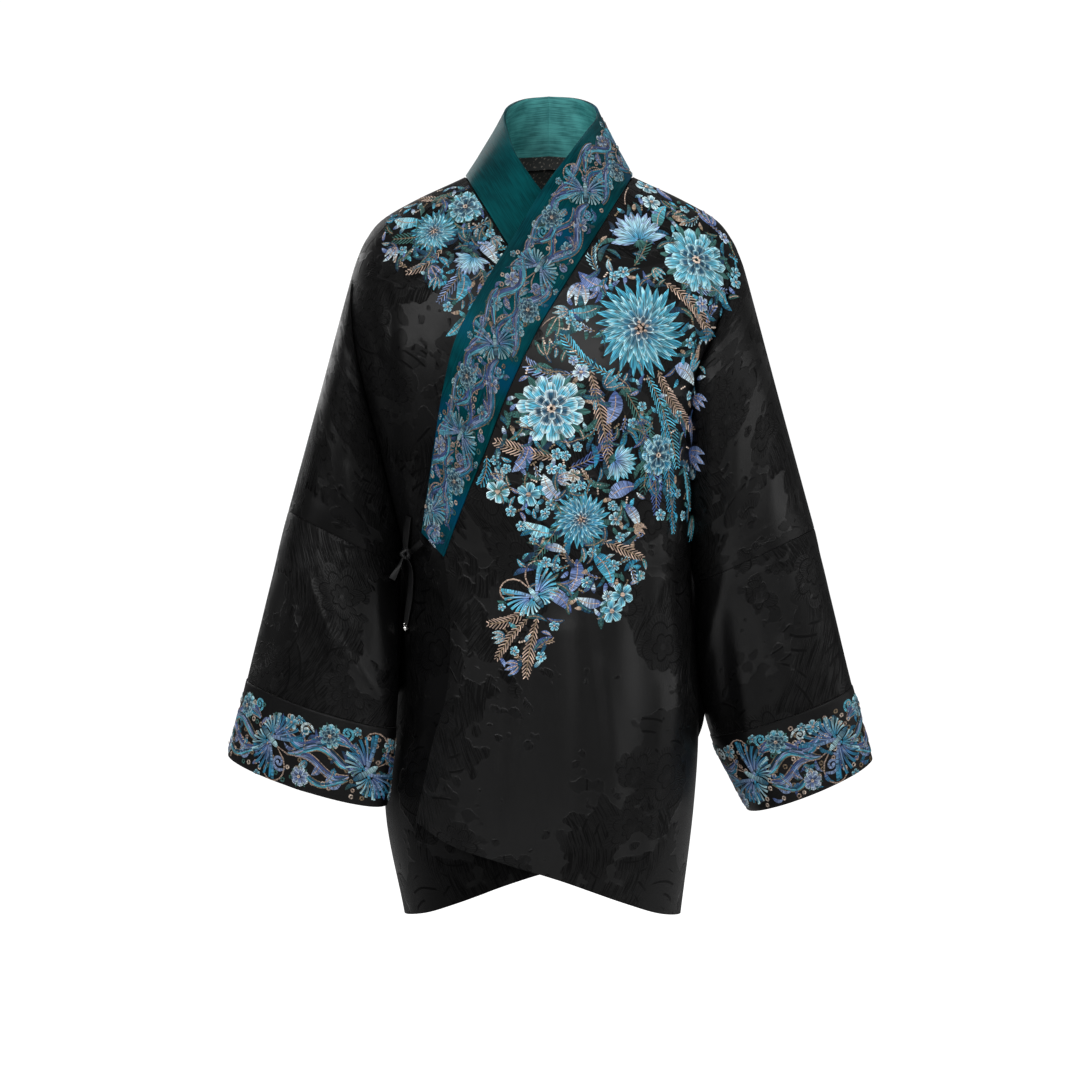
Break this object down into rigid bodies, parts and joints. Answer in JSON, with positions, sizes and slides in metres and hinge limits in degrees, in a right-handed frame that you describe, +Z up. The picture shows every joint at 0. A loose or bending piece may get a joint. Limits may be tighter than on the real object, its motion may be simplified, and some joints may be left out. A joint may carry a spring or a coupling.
{
  "type": "embroidered cross-collar silk wrap jacket",
  "caption": "Hollow cross-collar wrap jacket with wide sleeves, cuff bands, a standing collar band and ribbon ties, in the pose its wearer gives it.",
  "frame": {"origin": "midway between the two neck points of the shoulders, where the wearer's shoulders and neck carry the jacket", "axes": "+Z up along the worn jacket, -Y its front, +X the wearer's left"},
  "size_m": [0.6797, 0.247, 0.865],
  "materials": {
    "black_silk": "satin damask",
    "cuff_silk": "embroidered satin",
    "teal_silk": "satin",
    "ribbon_silk": "satin ribbon",
    "silver": "polished"
  },
  "bodies": {
    "root": {"left_front": "black_silk", "right_front": "black_silk", "back": "black_silk", "left_sleeve": "black_silk", "right_sleeve": "black_silk", "left_cuff": "cuff_silk", "right_cuff": "cuff_silk", "left_collar": "teal_silk", "right_collar": "teal_silk", "tie_ribbon_front": "ribbon_silk", "tie_ribbon_collar": "ribbon_silk", "tie_end_long": "ribbon_silk", "tie_end_short": "ribbon_silk", "tie_knot": "ribbon_silk", "tie_bead": "silver"}
  },
  "joints": []
}
